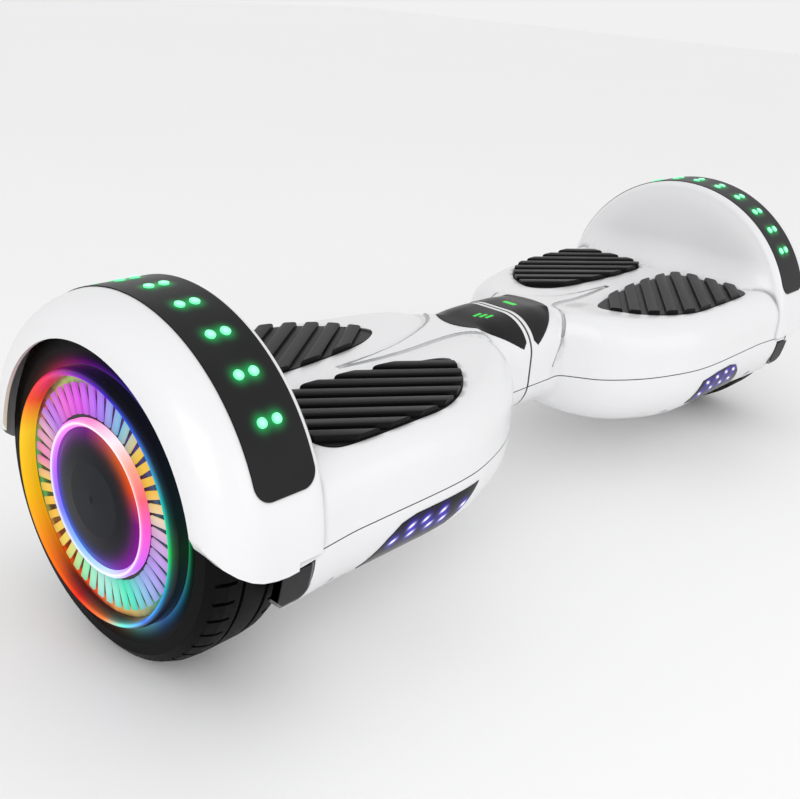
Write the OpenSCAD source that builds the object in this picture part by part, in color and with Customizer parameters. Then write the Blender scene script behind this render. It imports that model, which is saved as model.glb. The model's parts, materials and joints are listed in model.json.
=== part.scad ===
// Self balancing board: two foot platforms joined by a twisting waist, each with a hub motor wheel.
// Millimetres. X runs along the length, the front faces -Y, the tyres stand on Z = 0.

/* [Overall] */
// Length over the two wheel covers
length = 584; // [578:2:592]
// Tyre outside diameter
tyre_diameter = 166; // [160:1:168]
// Width of the platform, front to rear
platform_width = 180; // [176:1:188]
// Height of the platform top
platform_height = 112; // [112:1:114]
// Height of the underside
ground_clearance = 32; // [30:0.5:33]

/* [Shell] */
// Wall of the moulded shells
wall = 2.6; // [2.2:0.1:2.8]
// Gap at the seam between upper and lower shell
seam_gap = 0.3; // [0.2:0.1:0.6]
// Radius of the wheel cover over the axle
fender_radius = 94.5; // [93:0.5:96]
// Half width of the waist
waist_half = 33; // [31:0.5:34]

/* [Waist] */
// Radius of the pivot shaft
shaft_radius = 12.5; // [11:0.5:13]
// Radial clearance of the shaft in its bush
bush_clearance = 0.05; // [0.03:0.01:0.08]
// Gap between the two halves
waist_gap = 1.8; // [1.2:0.2:2.4]

/* [Wheels] */
// Width of the tyre
tyre_width = 48; // [44:1:50]
// Radius of the motor axle
axle_radius = 8; // [7:0.5:9]
// Number of light bars round the hub
ray_count = 46; // [36:1:48]

/* [Pads] */
// How far a foot pad presses down
pad_travel = 1.5; // [1:0.25:1.5]
// Pitch of the slanted ribs
rib_pitch = 12.6; // [12:0.1:12.8]
// Width of one rib
rib_width = 8; // [6:0.5:9]

/* [Charging] */
// Radius of the charging port
port_radius = 6.8; // [6.4:0.1:7]

/* [Lights] */
// Pairs of lamps over the left wheel
left_pairs = 9; // [7:1:9]
// Pairs of lamps over the right wheel
right_pairs = 11; // [7:1:11]

/* [Hidden] */
$fn = 48;
eps = 0.01;
half = length / 2;
axle_z = tyre_diameter / 2;
seam_z = 77;
fender_low = 73;
waist_z = 88;
waist_x = waist_gap / 2;
window_reach = 42;           // how far the window runs out from the middle
window_half = 32.5;
ph = platform_width / 2;
well_x = half - 59;          // inner face of the wheel well
end_x = half - 43;           // outer end of the lower shell
well_wall = 3;
well_radius = fender_radius - 3;
tyre_x = half - 6 - tyre_width;
strip_in = half - 55;
strip_out = half - 22;
strip_low = axle_z + 27;
rest_gap = 0.2;
frame_z = 60;
frame_t = 6;
pad_gap = 0.4;
pad_base = platform_height - 2.4;
pad_top = platform_height + 0.5;
rib_rise = 2.5;
rib_angle = 34.6;
rib_first = 80.5;
rib_count = 8;
tray_floor = pad_base - pad_travel - 0.6;
board_z = 94;
socket_x = 150;
socket_z = 63.5;
flange_y = ph - 6.4;
mouth_y = flange_y - 8.6;
button_x = 186;
case_screws = [[half - 73, 79, 56], [112, 70, 57], [66, 36, 57]];
frame_screws = [[88, 20], [half - 78, 20]];
clamp_holes = [[half - 90, 16], [half - 76, 16]];
corner_steps = 5;
// along X: place, half width, top, top corner y, top corner z, bottom, bottom corner y, bottom corner z
stations = [
  [waist_x, waist_half, waist_z + 33, 24, 24, waist_z - 32, 24, 24],
  [20, waist_half, waist_z + 32.6, 24, 24, waist_z - 32.6, 24, 24],
  [34, waist_half + 1, waist_z + 31, 24, 24, waist_z - 34, 24, 24],
  [40, waist_half + 9, waist_z + 30.5, 20, 22, 51, 24, 25],
  [48, waist_half + 21, waist_z + 29.5, 20, 22, 47, 28, 28],
  [60, waist_half + 31, platform_height + 4, 20, 22, 42.5, 32, 32],
  [72, 71.5, platform_height + 2.4, 20, 22, 39, 36, 35],
  [85, 77.5, platform_height + 1, 19, 22, 36.3, 39, 38],
  [98, 82, platform_height + 0.3, 19, 22, 34.5, 41, 40],
  [110, 85.5, platform_height, 18, 22, 33.1, 42, 41],
  [122, ph - 2, platform_height, 18, 22, ground_clearance + 0.1, 43, 42],
  [138, ph - 0.5, platform_height, 17, 22, ground_clearance, 44, 43],
  [160, ph, platform_height, 16, 22, ground_clearance, 45, 44],
  [half - 84, ph, platform_height, 16, 22, ground_clearance, 45, 44],
  [half - 64, ph + 1.5, platform_height, 17, 22, ground_clearance, 46, 44],
  [end_x, ph + 3.6, platform_height, 18, 22, ground_clearance, 48, 44]
];
pad_plan = [[79.5, 31], [80.5, 34.5], [84, 40], [88.5, 46.5], [95.5, 54.3], [109, 64.3], [123.5, 71], [138, 74.2], [160, 74.8], [185, 75],
            [203, 74.3], [209.5, 72], [212.8, 67], [213.5, 60], [213.5, 30], [212.4, 22.5], [209, 16.5], [203, 13.2], [195, 12], [180, 11.6],
            [165, 11.8], [150, 12.7], [135, 14.2], [120, 16.1], [107, 18.2], [97, 20.3], [88.5, 23.2], [82, 27]];
lamp_plan = [[116, 70.5], [168, 70.5], [178, 68.5], [186, 62], [192, 54], [197, 46], [180, 46], [150, 46.5], [135, 50], [125, 59]];
channel_plan = [[85, 17.5], [104, 14.5], [130, 12], [166, 9.5], [172, 0], [166, -9.5], [130, -12], [104, -14.5], [85, -17.5]];

// ---- helpers ----
module on_left() { mirror([1, 0, 0]) children(); }
module both_y() { children(); mirror([0, 1, 0]) children(); }
module along_x(x, r, h, z = axle_z, y = 0) { translate([x, y, z]) rotate([0, 90, 0]) cylinder(r = r, h = h); }
module spun(points) { translate([0, 0, axle_z]) rotate([0, 90, 0]) rotate_extrude($fn = 96) polygon(points); }
module spun_coarse(points) { translate([0, 0, axle_z]) rotate([0, 90, 0]) rotate_extrude($fn = 64) polygon(points); }

// one closed cross section, anticlockwise, grown by g
function arc_points(cy, cz, ry, rz, from) =
  [for (i = [0:corner_steps]) let (a = from + 90 * i / corner_steps) [cy + ry * cos(a), cz + rz * sin(a)]];
function section(s, g) =
  let (w = s[1] + g, top = s[2] + g, low = s[5] - g, ty = s[3] + g * 0.7, tz = s[4] + g * 0.7, by = s[6] + g * 0.7, bz = s[7] + g * 0.7)
  concat(arc_points(w - ty, top - tz, ty, tz, 0), arc_points(-w + ty, top - tz, ty, tz, 90),
         arc_points(-w + by, low + bz, by, bz, 180), arc_points(w - by, low + bz, by, bz, 270));
// lofted through every station; from and to move its two end faces
module body(g, from = 0, to = 0) {
  last = len(stations) - 1;
  n = 4 * (corner_steps + 1);
  points = [for (i = [0:last]) let (x = stations[i][0] - (i == 0 ? from : 0) + (i == last ? to : 0))
    for (p = section(stations[i], g)) [x, p[0], p[1]]];
  sides = [for (i = [0:last - 1], j = [0:n - 1]) let (a = i * n + j, b = i * n + (j + 1) % n)
    each [[a, a + n, b], [b, a + n, b + n]]];
  polyhedron(points, concat(sides, [[for (j = [0:n - 1]) j]], [[for (j = [n - 1:-1:0]) last * n + j]]));
}
// the shells are cut as one faceted solid
module moulded() { resize([0, 0, 0]) children(); }

// ---- shells ----
module fender_outer() {
  r = fender_radius;
  spun_coarse([[0, well_x - 14], [30, well_x - 14], [58, well_x - 11], [72, well_x - 7.5], [84, well_x - 4.5], [90, well_x - 2.5],
    [r - 1.6, well_x + 0.4], [r, well_x + 3.5], [r, half - 22], [r - 1.4, half - 13], [r - 5, half - 6.5], [r - 10.5, half - 2],
    [78, half], [0, half]]);
}
module fender_inner() {
  r = well_radius;
  spun_coarse([[0, well_x], [r - 3, well_x], [r, well_x + 3], [r, half - 23], [r - 2, half - 14], [r - 6, half - 7.5], [r - 11, half - 3],
    [76, half - 2], [76, half + 2], [0, half + 2]]);
}
module fender_trim() {
  translate([0, 200, 0]) rotate([90, 0, 0]) linear_extrude(400)
    polygon([[end_x, -60], [end_x, fender_low], [half - 26, fender_low + 1], [half - 16, fender_low + 5], [half - 7, fender_low + 11],
      [half - 1, fender_low + 19], [half + 2, fender_low + 30], [half + 9, fender_low + 38], [half + 9, -60]]);
}
module pad_shape(grow = 0) { offset(delta = grow) polygon(pad_plan); }
module stubs(r, from, to) { for (x = [130, 165]) translate([x, 34, from]) cylinder(r = r, h = to - from); }
module strip_plate(x0, x1, low, r) {
  translate([0, 150, 0]) rotate([90, 0, 0]) linear_extrude(300)
    union() {
      translate([x0, low + r]) square([x1 - x0, 200]);
      translate([x0 + r, low]) square([x1 - x0 - 2 * r, r + 1]);
      for (x = [x0 + r, x1 - r]) translate([x, low + r]) circle(r = r, $fn = 32);
    }
}
module strip_ring(r0, r1, grow) {
  intersection() {
    spun([[r0, strip_in - grow], [r1, strip_in - grow], [r1, strip_out + grow], [r0, strip_out + grow]]);
    strip_plate(strip_in - grow, strip_out + grow, strip_low - grow, 8);
  }
}
module window_area(grow) {
  intersection() {
    translate([0, 0, 70]) linear_extrude(80) scale([window_reach + grow, window_half + grow]) circle(r = 1, $fn = 56);
    translate([4.2 - grow, -60, 90]) cube([60, 120, 60]);
  }
}
module lamp_area(grow) {
  translate([0, -40, 0]) rotate([90, 0, 0]) linear_extrude(80) offset(delta = grow) polygon(lamp_plan);
}
module case_posts(r, from) { for (p = case_screws) both_y() translate([p[0], p[1], from]) cylinder(r = r, h = 60, $fn = 16); }
module top_shell() {
  moulded() difference() {
    union() { body(0); fender_outer(); }
    difference() {
      body(-wall, eps, well_x - well_wall - end_x);
      both_y() translate([0, 0, tray_floor - 2.4]) linear_extrude(60) pad_shape(2.4);
      case_posts(5, seam_z - 20);
    }
    fender_inner();
    fender_trim();
    translate([-1, -150, -60]) cube([end_x + 1 + eps, 300, seam_z + 60 + seam_gap / 2]);
    along_x(well_x - 20, axle_radius + 2, 24);
    strip_ring(fender_radius - 1.8, fender_radius + 5, 0.2);
    both_y() translate([0, 0, tray_floor]) linear_extrude(20) pad_shape(pad_gap);
    both_y() stubs(3.6, tray_floor - 4, tray_floor + 1);
    translate([0, 0, platform_height - 1.2]) linear_extrude(10) polygon(channel_plan);
    intersection() { window_area(0.2); difference() { body(5); body(-1.2); } }
    for (s = case_screws) both_y() translate([s[0], s[1], seam_z - 1]) cylinder(r = 1.85, h = 18, $fn = 14);
  }
}
module bottom_shell(right) {
  moulded() difference() {
    body(0);
    difference() {
      body(-wall, eps, eps);
      translate([well_x - well_wall, -150, 0]) cube([well_wall - 0.4, 300, 200]);
      translate([0, 0, -10]) case_posts(6, 20);
      for (p = frame_screws) both_y() translate([p[0], p[1], 10]) cylinder(r = 5, h = frame_z - 10, $fn = 16);
    }
    translate([-1, -150, seam_z - seam_gap / 2]) cube([400, 300, 200]);
    along_x(well_x - 0.4, well_radius - 4.5, 60);
    along_x(well_x - 20, axle_radius + 2, 24);
    for (s = case_screws) both_y() {
      translate([s[0], s[1], 10]) cylinder(r = 4.4, h = s[2] - 10, $fn = 20);
      translate([s[0], s[1], 10]) cylinder(r = 2.1, h = 80, $fn = 14);
    }
    for (s = frame_screws) both_y() {
      translate([s[0], s[1], 10]) cylinder(r = 4.2, h = 34, $fn = 16);
      translate([s[0], s[1], 10]) cylinder(r = 2.2, h = 80, $fn = 14);
    }
    intersection() { lamp_area(0.2); difference() { body(5); body(-1.4); } }
    both_y() translate([well_x + 6, -ph - 5, 49]) cube([12, 20, seam_z - 49 - 8]);
    if (right) {
      translate([socket_x, 60, socket_z]) rotate([-90, 0, 0]) cylinder(r = 8.7, h = 60, $fn = 32);
      translate([socket_x, flange_y - rest_gap, socket_z]) rotate([-90, 0, 0]) cylinder(r = 10.9, h = 60, $fn = 32);
      translate([socket_x - 6.5, flange_y - rest_gap, socket_z - 13.6]) cube([13, 30, 6]);
      translate([button_x, 60, socket_z]) rotate([-90, 0, 0]) cylinder(r = 6.4, h = 60, $fn = 32);
      for (a = [0:60:300]) translate([212 + 8 * cos(a), 8 * sin(a), 20]) cylinder(r = 1.6, h = 20, $fn = 14);
    }
  }
}

// ---- inner structure ----
module frame(bore, cable_slot) {
  difference() {
    union() {
      translate([0, 0, frame_z]) linear_extrude(frame_t)
        polygon([[46, -14], [72, -26], [half - 72, -26], [half - 72, 26], [72, 26], [46, 14]]);
      both_y() translate([74, 22, frame_z]) cube([half - 72 - 74, 4, 15]);
      along_x(6, 19, 44, waist_z);
      translate([12, -14, frame_z + 2]) cube([38, 28, waist_z - frame_z - 6]);
      translate([half - 94, -22, frame_z + 2]) cube([22, 44, axle_z - frame_z - 2]);
      for (x = [118, 168], y = [-19, 19]) translate([x, y, frame_z + 2]) cylinder(r = 2.8, h = board_z - frame_z - 2, $fn = 24);
    }
    along_x(5, bore, 46, waist_z);
    along_x(half - 96, axle_radius + 0.02, 26);
    for (s = frame_screws, k = [-1, 1]) translate([s[0], k * s[1], frame_z - 1]) cylinder(r = 2.05, h = frame_t + 20, $fn = 16);
    for (s = clamp_holes, k = [-1, 1]) translate([s[0], k * s[1], axle_z - 14]) cylinder(r = 2.05, h = 20, $fn = 16);
    translate([cable_slot, -6, frame_z - 1]) cube([16, 12, frame_t + 2]);
  }
}
module motor_clamp() {
  difference() {
    translate([half - 94, -22, axle_z + rest_gap]) cube([22, 44, 13]);
    along_x(half - 96, axle_radius + 0.02, 26);
    for (s = clamp_holes, k = [-1, 1]) translate([s[0], k * s[1], axle_z - 1]) cylinder(r = 2.3, h = 30, $fn = 16);
  }
}
module pan_screw(h) { cylinder(r = 1.8, h = h, $fn = 20); }
module screws() {
  for (s = case_screws) both_y() translate([s[0], s[1], s[2] - 2.6]) { cylinder(r = 3.8, h = 2.6, $fn = 24); pan_screw(seam_z - s[2] + 16); }
  for (s = frame_screws) both_y() translate([s[0], s[1], 41.4]) { cylinder(r = 3.6, h = 2.6, $fn = 24); cylinder(r = 2, h = frame_z + frame_t - 41.4, $fn = 20); }
  for (s = clamp_holes) both_y() translate([s[0], s[1], axle_z - 12]) {
    cylinder(r = 2, h = 25.2, $fn = 20);
    translate([0, 0, 25.2]) cylinder(r = 3.6, h = 2.6, $fn = 24);
  }
}
module gyro_board() {
  difference() {
    union() {
      translate([112, -42, board_z]) cube([62, 84, 1.6]);
      translate([136, -8, board_z + 1.6]) cube([14, 16, 2.2]);
      translate([116, -10, board_z + 1.6]) cube([8, 18, 4.5]);
    }
    for (x = [118, 168], y = [-19, 19]) translate([x, y, board_z - 1]) cylinder(r = 1.4, h = 5, $fn = 16);
  }
}
module switch_caps() { both_y() for (x = [130, 165]) translate([x, 34, board_z + 1.6]) cylinder(r1 = 4.5, r2 = 3.2, h = 3, $fn = 24); }
module rod(a, b, r) {
  d = b - a;
  translate(a) rotate([0, acos(d[2] / norm(d)), atan2(d[1], d[0])]) cylinder(r = r, h = norm(d), $fn = 12);
  translate(b) sphere(r = r, $fn = 12);
}
module motor_lead() {
  rod([66, 0, waist_z], [84, 0, 71.5], 3);
  rod([84, 0, 71.5], [166, 0, 71.5], 3);
  rod([166, 0, 71.5], [182, 0, axle_z], 3);
  rod([182, 0, axle_z], [half - 96 - rest_gap, 0, axle_z], 3);
}
module right_leads() {
  along_x(-60, 5, 126, waist_z);
  translate([66, 0, waist_z]) sphere(r = 5, $fn = 24);
  motor_lead();
  rod([96, 0, 71.5], [96, 0, frame_z - 2.2], 2);
  rod([96, 0, frame_z - 2.2], [128, 0, frame_z - 2.2], 2);
}
module left_leads() {
  along_x(60 + rest_gap + 0.3, 7, 8, waist_z);
  along_x(66, 5, 2, waist_z);
  motor_lead();
  rod([92, 0, 71.5], [92, 0, frame_z - 8], 3);
  rod([92, 0, frame_z - 8], [123.8, 0, frame_z - 8], 3);
}

// ---- motor and wheel ----
module axle() {
  difference() {
    union() { along_x(half - 96, axle_radius, 87); along_x(tyre_x + 12, axle_radius + 4, 22); }
    along_x(half - 97, 3.2, 40);
  }
}
module stator() {
  difference() {
    along_x(tyre_x + 12, 52, 22);
    along_x(tyre_x + 11, axle_radius + 4, 24);
    for (a = [0:20:340]) translate([0, 0, axle_z]) rotate([a, 0, 0]) translate([tyre_x + 11, -2.5, 24]) cube([24, 5, 24]);
    for (a = [0:20:340]) translate([0, 0, axle_z]) rotate([a, 0, 0]) translate([tyre_x + 11, -1, 40]) cube([24, 2, 16]);
  }
}
module tyre() {
  r = axle_z;
  x0 = tyre_x;
  x1 = tyre_x + tyre_width;
  difference() {
    spun([[62, x0 + 3], [70, x0], [76, x0 + 0.6], [80.5, x0 + 4], [82.4, x0 + 9], [r, x0 + 15], [r, x0 + 15.8], [r - 1.5, x0 + 16], [r - 1.5, x0 + 17.6],
      [r, x0 + 17.8], [r, x1 - 17.8], [r - 1.5, x1 - 17.6], [r - 1.5, x1 - 16], [r, x1 - 15.8], [r, x1 - 15], [82.4, x1 - 9], [80.5, x1 - 4],
      [76, x1 - 0.6], [70, x1], [62, x1 - 3]]);
    for (a = [0:7.5:352.5]) translate([0, 0, axle_z]) rotate([a, 0, 0]) for (x = [x0 - 1, x1 - 13]) translate([x, -1, 79.5]) cube([14, 2, 6]);
  }
}
module rim() {
  x0 = tyre_x;
  x1 = tyre_x + tyre_width;
  spun([[56.2, x0 + 6.5], [62, x0 + 3], [62, x1 - 3], [14, x1 - 3], [14, x1 - 10], [18, x1 - 10], [18, x1 - 7], [56.2, x1 - 7]]);
}
module magnets() {
  for (a = [0:18:342]) translate([0, 0, axle_z]) rotate([a, 0, 0]) translate([tyre_x + 11, -7, 53]) cube([24, 14, 2.7]);
}
module inner_cover() { x0 = tyre_x; spun([[14, x0 + 2], [62 - 6, x0 + 2], [56, x0 + 6.4], [18, x0 + 6.4], [18, x0 + 10], [14, x0 + 10]]); }
module bearings() { for (x = [tyre_x + 2.5, tyre_x + tyre_width - 10]) spun([[axle_radius + 0.05, x], [14, x], [14, x + 7], [axle_radius + 0.05, x + 7]]); }
module light_board() { x1 = half - 9; spun([[0, x1], [57.3, x1], [57.3, x1 + 2], [0, x1 + 2]]); }
module rays() {
  for (i = [0:ray_count - 1]) translate([0, 0, axle_z]) rotate([(i + 0.5) * 360 / ray_count, 0, 0])
    translate([half - 7, -1.9, 39.5]) cube([1, 3.8, 14.5]);
}
module light_rings() {
  x = half - 9;
  spun([[57.4, x], [61.7, x], [61.7, x + 5], [60.9, x + 7.6], [59.6, x + 9], [58.3, x + 7.6], [57.4, x + 4]]);
  spun([[34.2, x + 2.02], [37.8, x + 2.02], [37.8, x + 5], [36.6, x + 6.4], [35.2, x + 6], [34.2, x + 4.6]]);
}
module hub_lens() { x = half - 7 + 0.02; spun([[0, x], [34, x], [34, x + 2.4], [30, x + 3.4], [18, x + 4.6], [0, x + 5]]); }

// ---- outside details ----
module strip() { difference() { strip_ring(fender_radius - 1.7, fender_radius + 0.4, 0); } }
module strip_lamps(count) {
  step = 108 / (count - 1);
  for (i = [0:count - 1], x = [half - 43, half - 35])
    translate([x, 0, axle_z]) rotate([i * step - 54, 0, 0]) translate([0, 0, fender_radius + 0.4]) cylinder(r = 2.4, h = 0.8, $fn = 24);
}
module headlight() { moulded() intersection() { lamp_area(0); difference() { body(0.3); body(-1.3); } } }
module window() { moulded() intersection() { window_area(0); difference() { body(0.25); body(-1.1); } } }
module pad() {
  difference() {
    union() {
      translate([0, 0, pad_base]) linear_extrude(pad_top - pad_base) pad_shape();
      stubs(3, board_z + 7.2, pad_base + 1);
      intersection() {
        translate([0, 0, pad_top - 0.5]) linear_extrude(rib_rise + 0.5) pad_shape(-1);
        for (i = [0:rib_count - 1]) rotate([0, 0, -rib_angle]) translate([-20, rib_first + i * rib_pitch - rib_width / 2, 0]) cube([260, rib_width, 200]);
      }
    }
  }
}

// ---- single pieces ----
module battery_pack_body() {
  translate([-207, -34, ground_clearance + wall + rest_gap]) cube([80, 68, frame_z - rest_gap * 2 - ground_clearance - wall]);
}
module control_board_body() {
  x0 = 124;
  z0 = ground_clearance + wall + rest_gap + 0.15;
  translate([x0, -30, z0]) cube([72, 60, 12]);
  translate([x0, -32, 54]) cube([72, 64, 1.6]);
  for (x = [x0 + 5, x0 + 67], y = [-26, 26]) translate([x, y, z0 + 6]) cylinder(r = 3, h = frame_z - rest_gap - z0 - 6, $fn = 24);
  for (x = [x0 + 14, x0 + 30, x0 + 46]) translate([x, -14, z0 + 11]) cylinder(r = 6, h = 54.5 - z0 - 11);
  translate([x0 + 10, 8, z0 + 11]) cube([50, 16, 54.5 - z0 - 11]);
}
module pivot_shaft_body() {
  difference() {
    along_x(-54, shaft_radius, 104, waist_z);
    along_x(-55, 6, 106, waist_z);
    difference() { along_x(-52.6, shaft_radius + 1, 1.6, waist_z); along_x(-53, shaft_radius - 1, 2.4, waist_z); }
  }
}
module pivot_bush_body() { difference() { along_x(-50, 15, 44, waist_z); along_x(-51, shaft_radius + bush_clearance, 46, waist_z); } }
module pivot_circlip_body() {
  difference() {
    along_x(-52.4, shaft_radius + 2.5, 1.2, waist_z);
    along_x(-53, shaft_radius - 0.9, 2.4, waist_z);
    translate([-53, -4, waist_z]) cube([3, 8, 20]);
  }
}
module charge_socket_body() {
  translate([socket_x, 62, socket_z]) rotate([-90, 0, 0]) difference() {
    union() {
      cylinder(r = 8.5, h = flange_y - 61);
      translate([0, 0, flange_y - 62]) cylinder(r = 10.5, h = 1.4);
      translate([-6, 8, flange_y - 62]) cube([12, 5, 1.4]);
    }
    translate([0, 0, 3]) cylinder(r = port_radius - 1.2, h = 60);
    translate([0, 0, mouth_y - 62]) cylinder(r = port_radius, h = 60);
  }
  // contact pins, in the narrower chamber behind the mouth
  for (a = [90, 210, 330]) translate([socket_x + 3.2 * cos(a), 64, socket_z + 3.2 * sin(a)]) rotate([-90, 0, 0]) cylinder(r = 1, h = mouth_y - 65, $fn = 20);
}
module charge_cap_body() {
  y = flange_y + 1.4 + rest_gap;
  translate([socket_x, y, socket_z]) rotate([-90, 0, 0]) cylinder(r = 10.2, h = 1.8);
  translate([socket_x - 5, y, socket_z - 12]) cube([10, 1.8, 6]);
  along_x(socket_x - 5, 0.9, 10, socket_z - 12, y + 0.9);
}
module power_button_body() {
  translate([button_x, 0, socket_z]) rotate([-90, 0, 0]) union() { translate([0, 0, 72]) cylinder(r = 6, h = ph - 73.4); translate([0, 0, 66]) cylinder(r = 3, h = 7); }
}
module speaker_body() { translate([212, 0, ground_clearance + wall + rest_gap]) union() { cylinder(r = 14, h = 4); translate([0, 0, 3.5]) cylinder(r1 = 12, r2 = 9, h = 9); translate([0, 0, 12]) cylinder(r = 8, h = 7); } }

// ---- one module per node ----
module left_top_shell() { color("white") on_left() top_shell(); }
module left_bottom_shell() { color("white") on_left() bottom_shell(false); }
module left_frame() { color("silver") on_left() frame(15, 86); }
module left_strip() { color("#2b2b2b") on_left() strip(); }
module left_strip_lamps() { color("#5cffb0") on_left() strip_lamps(left_pairs); }
module left_headlight() { color("#15123a") on_left() headlight(); }
module left_window() { color("#1c1c1e") on_left() window(); }
module left_motor_clamp() { color("silver") on_left() motor_clamp(); }
module left_screws() { color("#555555") on_left() screws(); }
module left_axle() { color("silver") on_left() axle(); }
module left_stator() { color("#b87333") on_left() stator(); }
module left_gyro_board() { color("#1d5c2a") on_left() gyro_board(); }
module left_switch_caps() { color("#3b3b3b") on_left() switch_caps(); }
module left_harness() { color("#222222") on_left() left_leads(); }
module right_top_shell() { color("white") top_shell(); }
module right_bottom_shell() { color("white") bottom_shell(true); }
module right_frame() { color("silver") frame(shaft_radius, 88); }
module right_strip() { color("#2b2b2b") strip(); }
module right_strip_lamps() { color("#5cffb0") strip_lamps(right_pairs); }
module right_headlight() { color("#15123a") headlight(); }
module right_window() { color("#1c1c1e") window(); }
module right_motor_clamp() { color("silver") motor_clamp(); }
module right_screws() { color("#555555") screws(); }
module right_axle() { color("silver") axle(); }
module right_stator() { color("#b87333") stator(); }
module right_gyro_board() { color("#1d5c2a") gyro_board(); }
module right_switch_caps() { color("#3b3b3b") switch_caps(); }
module right_harness() { color("#222222") right_leads(); }
module left_tyre() { color("#161616") on_left() tyre(); }
module left_rim() { color("#303030") on_left() rim(); }
module left_magnets() { color("#8a8a8a") on_left() magnets(); }
module left_inner_cover() { color("#3a3a3a") on_left() inner_cover(); }
module left_bearings() { color("silver") on_left() bearings(); }
module left_light_board() { color("#101014") on_left() light_board(); }
module left_rays() { color("#e8c8ff") on_left() rays(); }
module left_light_rings() { color("#ff66cc") on_left() light_rings(); }
module left_hub_lens() { color("#0d0d14") on_left() hub_lens(); }
module right_tyre() { color("#161616") tyre(); }
module right_rim() { color("#303030") rim(); }
module right_magnets() { color("#8a8a8a") magnets(); }
module right_inner_cover() { color("#3a3a3a") inner_cover(); }
module right_bearings() { color("silver") bearings(); }
module right_light_board() { color("#101014") light_board(); }
module right_rays() { color("#e8c8ff") rays(); }
module right_light_rings() { color("#ff66cc") light_rings(); }
module right_hub_lens() { color("#0d0d14") hub_lens(); }
module left_front_pad() { color("#151515") on_left() mirror([0, 1, 0]) pad(); }
module left_rear_pad() { color("#151515") on_left() pad(); }
module right_front_pad() { color("#151515") mirror([0, 1, 0]) pad(); }
module right_rear_pad() { color("#151515") pad(); }
module battery_pack() { color("#2f5f9e") battery_pack_body(); }
module control_board() { color("#1d5c2a") control_board_body(); }
module pivot_shaft() { color("silver") pivot_shaft_body(); }
module pivot_bush() { color("#b08d57") pivot_bush_body(); }
module pivot_circlip() { color("#777777") pivot_circlip_body(); }
module charge_socket() { color("#222222") charge_socket_body(); }
module charge_cap() { color("#2a2a2a") charge_cap_body(); }
module power_button() { color("#333333") power_button_body(); }
module speaker() { color("#2b2b2b") speaker_body(); }

left_top_shell();
left_bottom_shell();
left_frame();
left_strip();
left_strip_lamps();
left_headlight();
left_window();
left_motor_clamp();
left_screws();
left_axle();
left_stator();
left_gyro_board();
left_switch_caps();
left_harness();
right_top_shell();
right_bottom_shell();
right_frame();
right_strip();
right_strip_lamps();
right_headlight();
right_window();
right_motor_clamp();
right_screws();
right_axle();
right_stator();
right_gyro_board();
right_switch_caps();
right_harness();
left_tyre();
left_rim();
left_magnets();
left_inner_cover();
left_bearings();
left_light_board();
left_rays();
left_light_rings();
left_hub_lens();
right_tyre();
right_rim();
right_magnets();
right_inner_cover();
right_bearings();
right_light_board();
right_rays();
right_light_rings();
right_hub_lens();
left_front_pad();
left_rear_pad();
right_front_pad();
right_rear_pad();
battery_pack();
control_board();
pivot_shaft();
pivot_bush();
pivot_circlip();
charge_socket();
charge_cap();
power_button();
speaker();
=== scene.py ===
import json
import math
import bpy
import bmesh
from mathutils import Matrix, Vector


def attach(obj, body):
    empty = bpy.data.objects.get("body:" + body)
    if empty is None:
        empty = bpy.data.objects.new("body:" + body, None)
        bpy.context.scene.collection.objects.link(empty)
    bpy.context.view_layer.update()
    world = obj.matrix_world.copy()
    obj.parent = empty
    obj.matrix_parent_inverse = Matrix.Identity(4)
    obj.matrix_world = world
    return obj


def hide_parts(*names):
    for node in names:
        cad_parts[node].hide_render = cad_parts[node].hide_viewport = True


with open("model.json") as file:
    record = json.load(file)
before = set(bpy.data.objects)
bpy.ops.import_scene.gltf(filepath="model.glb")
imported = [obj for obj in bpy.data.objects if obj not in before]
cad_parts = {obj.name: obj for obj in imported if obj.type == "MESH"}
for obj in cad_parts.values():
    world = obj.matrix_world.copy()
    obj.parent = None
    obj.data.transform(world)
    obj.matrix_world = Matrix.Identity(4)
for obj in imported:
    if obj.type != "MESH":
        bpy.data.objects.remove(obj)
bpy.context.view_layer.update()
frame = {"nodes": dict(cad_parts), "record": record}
mm = 0.001

cameraLook = {"place": (-0.5169, -0.3757, 0.3146), "azimuth": -49.1, "elevation": 22.3, "roll": 4.2,
              "lens": 47.2}
studio = {"world": 0.88, "keyPower": 6.0, "fillPower": 2.4,
          "floor": (0.95, 0.95, 0.95), "floorShade": (0.97, 0.97, 0.97)}


def makeCamera(look):
    a, e, r = (math.radians(look[k]) for k in ("azimuth", "elevation", "roll"))
    back = Vector((math.sin(a) * math.cos(e), -math.cos(a) * math.cos(e), math.sin(e)))
    right = (-back).cross(Vector((0, 0, 1))).normalized()
    up = right.cross(-back)
    right, up = right * math.cos(r) + up * math.sin(r), up * math.cos(r) - right * math.sin(r)
    data = bpy.data.cameras.new("camera")
    data.lens = look["lens"]
    data.sensor_width = 36
    data.sensor_fit = "HORIZONTAL"
    data.clip_start = 0.01
    cam = bpy.data.objects.new("camera", data)
    bpy.context.collection.objects.link(cam)
    turn = Matrix((right, up, back)).transposed()
    cam.matrix_world = Matrix.Translation(look["place"]) @ turn.to_4x4()
    bpy.context.scene.camera = cam


def softLight(name, place, aim, size, power, colour=(1, 1, 1)):
    data = bpy.data.lights.new(name, "AREA")
    data.shape = "RECTANGLE"
    data.size, data.size_y = size
    data.energy = power
    data.color = colour
    lamp = bpy.data.objects.new(name, data)
    bpy.context.collection.objects.link(lamp)
    lamp.location = place
    lamp.rotation_euler = (Vector(aim) - Vector(place)).to_track_quat("-Z", "Y").to_euler()


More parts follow.
